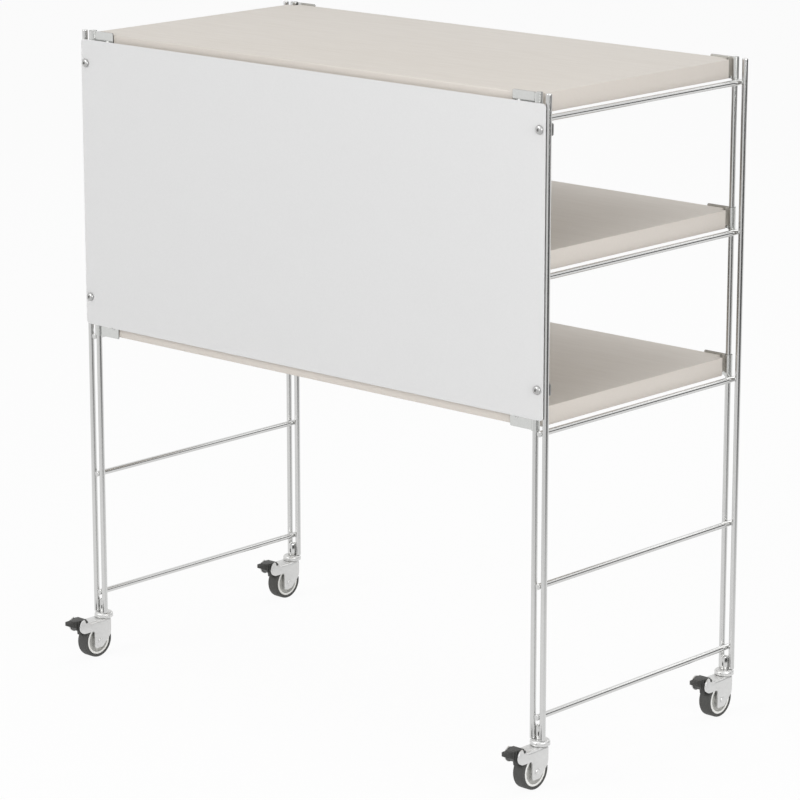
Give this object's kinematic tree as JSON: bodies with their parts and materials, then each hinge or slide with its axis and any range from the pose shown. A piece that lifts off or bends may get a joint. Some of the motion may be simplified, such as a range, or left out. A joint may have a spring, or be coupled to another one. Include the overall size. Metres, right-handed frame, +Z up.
{
  "type": "medical chart rack",
  "caption": "Open shelf rack on swivel casters: paired-rod ladder ends carry boards on corner clips, with a plain panel across the front of the chart bays.",
  "frame": {"origin": "on the floor, midway between the left and right ends and midway between the front pedals' tips and the back of the rear caster heads", "axes": "+X to the right as seen from the panel side, +Y from the panel towards the open back, +Z up"},
  "size_m": [0.8524, 0.4784, 0.9078],
  "materials": {
    "bright_rod": "bright polished round rod",
    "clip_steel": "bright plated pressed sheet",
    "shelf_laminate": "warm off-white laminate on board",
    "panel_paint": "light grey satin powder coat",
    "fastener_steel": "bright zinc plate",
    "caster_zinc": "satin zinc plate",
    "hub_plastic": "moulded light grey nylon",
    "tyre_rubber": "dark grey moulded rubber",
    "pedal_plastic": "black moulded nylon"
  },
  "bodies": {
    "rack": {"upright_front_left": "bright_rod", "upright_rear_left": "bright_rod", "rung_left_1": "bright_rod", "rung_left_2": "bright_rod", "rung_left_3": "bright_rod", "rung_left_4": "bright_rod", "rung_left_5": "bright_rod", "upright_front_right": "bright_rod", "upright_rear_right": "bright_rod", "rung_right_1": "bright_rod", "rung_right_2": "bright_rod", "rung_right_3": "bright_rod", "rung_right_4": "bright_rod", "rung_right_5": "bright_rod", "shelf_top": "shelf_laminate", "clip_top_front_left": "clip_steel", "clip_top_rear_left": "clip_steel", "clip_top_front_right": "clip_steel", "clip_top_rear_right": "clip_steel", "shelf_middle": "shelf_laminate", "clip_middle_front_left": "clip_steel", "clip_middle_rear_left": "clip_steel", "clip_middle_front_right": "clip_steel", "clip_middle_rear_right": "clip_steel", "shelf_bottom": "shelf_laminate", "clip_bottom_front_left": "clip_steel", "clip_bottom_rear_left": "clip_steel", "clip_bottom_front_right": "clip_steel", "clip_bottom_rear_right": "clip_steel", "front_panel": "panel_paint", "panel_screw_top_left": "fastener_steel", "panel_clamp_top_left": "fastener_steel", "panel_screw_bottom_left": "fastener_steel", "panel_clamp_bottom_left": "fastener_steel", "panel_screw_top_right": "fastener_steel", "panel_clamp_top_right": "fastener_steel", "panel_screw_bottom_right": "fastener_steel", "panel_clamp_bottom_right": "fastener_steel", "caster_front_left_head": "caster_zinc", "caster_rear_left_head": "caster_zinc", "caster_front_right_head": "caster_zinc", "caster_rear_right_head": "caster_zinc"},
    "caster_front_left_swivel": {"caster_front_left_fork": "caster_zinc"},
    "caster_front_left_wheel": {"caster_front_left_hub": "hub_plastic", "caster_front_left_tyre": "tyre_rubber"},
    "caster_front_left_brake": {"caster_front_left_pedal": "pedal_plastic"},
    "caster_rear_left_swivel": {"caster_rear_left_fork": "caster_zinc"},
    "caster_rear_left_wheel": {"caster_rear_left_hub": "hub_plastic", "caster_rear_left_tyre": "tyre_rubber"},
    "caster_rear_left_brake": {"caster_rear_left_pedal": "pedal_plastic"},
    "caster_front_right_swivel": {"caster_front_right_fork": "caster_zinc"},
    "caster_front_right_wheel": {"caster_front_right_hub": "hub_plastic", "caster_front_right_tyre": "tyre_rubber"},
    "caster_front_right_brake": {"caster_front_right_pedal": "pedal_plastic"},
    "caster_rear_right_swivel": {"caster_rear_right_fork": "caster_zinc"},
    "caster_rear_right_wheel": {"caster_rear_right_hub": "hub_plastic", "caster_rear_right_tyre": "tyre_rubber"},
    "caster_rear_right_brake": {"caster_rear_right_pedal": "pedal_plastic"}
  },
  "joints": [
    {"name": "caster_front_left_turn", "type": "hinge", "parent": "rack", "child": "caster_front_left_swivel", "pos_m": [-0.4127, -0.1662, 0.055], "axis": [0, 0, 1], "continuous": true},
    {"name": "caster_front_left_roll", "type": "hinge", "parent": "caster_front_left_swivel", "child": "caster_front_left_wheel", "pos_m": [-0.4127, -0.1852, 0.025], "axis": [1, 0, 0], "continuous": true},
    {"name": "caster_front_left_press", "type": "hinge", "parent": "caster_front_left_swivel", "child": "caster_front_left_brake", "pos_m": [-0.4127, -0.2107, 0.0588], "axis": [1, 0, 0], "range_deg": [0, 12]},
    {"name": "caster_rear_left_turn", "type": "hinge", "parent": "rack", "child": "caster_rear_left_swivel", "pos_m": [-0.4127, 0.2258, 0.055], "axis": [0, 0, 1], "continuous": true},
    {"name": "caster_rear_left_roll", "type": "hinge", "parent": "caster_rear_left_swivel", "child": "caster_rear_left_wheel", "pos_m": [-0.4127, 0.2068, 0.025], "axis": [1, 0, 0], "continuous": true},
    {"name": "caster_rear_left_press", "type": "hinge", "parent": "caster_rear_left_swivel", "child": "caster_rear_left_brake", "pos_m": [-0.4127, 0.1813, 0.0588], "axis": [1, 0, 0], "range_deg": [0, 12]},
    {"name": "caster_front_right_turn", "type": "hinge", "parent": "rack", "child": "caster_front_right_swivel", "pos_m": [0.4127, -0.1662, 0.055], "axis": [0, 0, 1], "continuous": true},
    {"name": "caster_front_right_roll", "type": "hinge", "parent": "caster_front_right_swivel", "child": "caster_front_right_wheel", "pos_m": [0.4127, -0.1852, 0.025], "axis": [1, 0, 0], "continuous": true},
    {"name": "caster_front_right_press", "type": "hinge", "parent": "caster_front_right_swivel", "child": "caster_front_right_brake", "pos_m": [0.4127, -0.2107, 0.0588], "axis": [1, 0, 0], "range_deg": [0, 12]},
    {"name": "caster_rear_right_turn", "type": "hinge", "parent": "rack", "child": "caster_rear_right_swivel", "pos_m": [0.4127, 0.2258, 0.055], "axis": [0, 0, 1], "continuous": true},
    {"name": "caster_rear_right_roll", "type": "hinge", "parent": "caster_rear_right_swivel", "child": "caster_rear_right_wheel", "pos_m": [0.4127, 0.2068, 0.025], "axis": [1, 0, 0], "continuous": true},
    {"name": "caster_rear_right_press", "type": "hinge", "parent": "caster_rear_right_swivel", "child": "caster_rear_right_brake", "pos_m": [0.4127, 0.1813, 0.0588], "axis": [1, 0, 0], "range_deg": [0, 12]}
  ]
}
